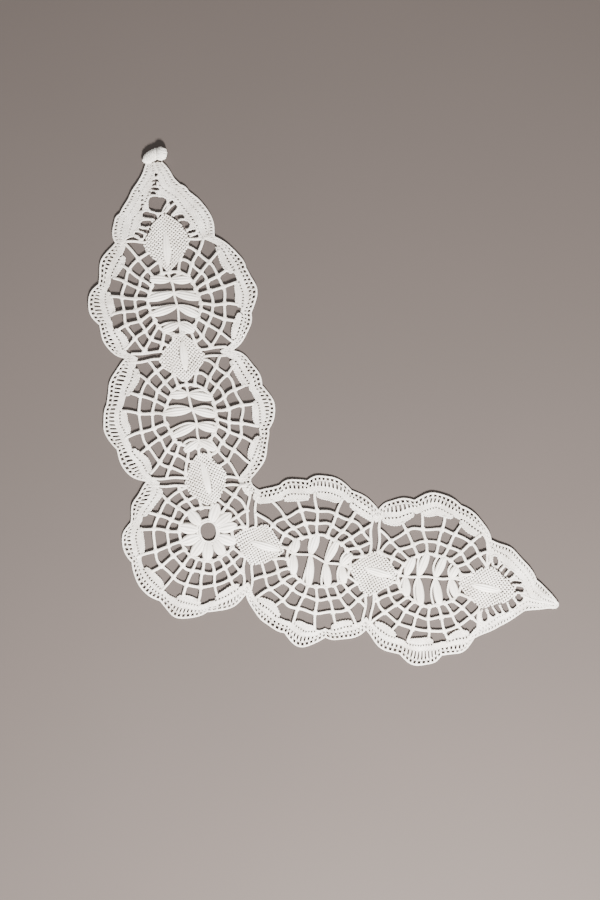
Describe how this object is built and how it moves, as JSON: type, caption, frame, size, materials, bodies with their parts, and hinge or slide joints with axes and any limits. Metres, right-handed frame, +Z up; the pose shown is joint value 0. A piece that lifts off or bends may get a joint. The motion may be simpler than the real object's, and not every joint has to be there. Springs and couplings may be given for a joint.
{
  "type": "lace collar",
  "caption": "Open braided lace collar laid flat in an L, with web roundels, leaf lozenges, scalloped edging and a knotted tip.",
  "frame": {"origin": "the middle of the collar's footprint, on the surface it lies on", "axes": "+Z up off the surface, +Y along the longer arm towards the knotted tip, +X across that arm towards the rounded tip"},
  "size_m": [0.2646, 0.2926, 0.0041],
  "materials": {
    "web_lace": "braided cotton thread",
    "edging_lace": "cotton clothwork",
    "net_lace": "twisted cotton net",
    "tip_lace": "close stitched cotton",
    "knot_lace": "knotted cotton cord"
  },
  "bodies": {
    "root": {"web_upper": "web_lace", "outer_edging_upper": "edging_lace", "neck_edging_upper": "edging_lace", "web_second": "web_lace", "outer_edging_second": "edging_lace", "neck_edging_second": "edging_lace", "web_corner": "web_lace", "outer_edging_corner": "edging_lace", "neck_edging_corner": "edging_lace", "web_fourth": "web_lace", "outer_edging_fourth": "edging_lace", "neck_edging_fourth": "edging_lace", "web_lower": "web_lace", "outer_edging_lower": "edging_lace", "neck_edging_lower": "edging_lace", "net_1": "net_lace", "net_2": "net_lace", "net_3": "net_lace", "net_4": "net_lace", "net_5": "net_lace", "net_6": "net_lace", "tip_upper": "tip_lace", "tip_lower": "tip_lace", "knot": "knot_lace"}
  },
  "joints": []
}
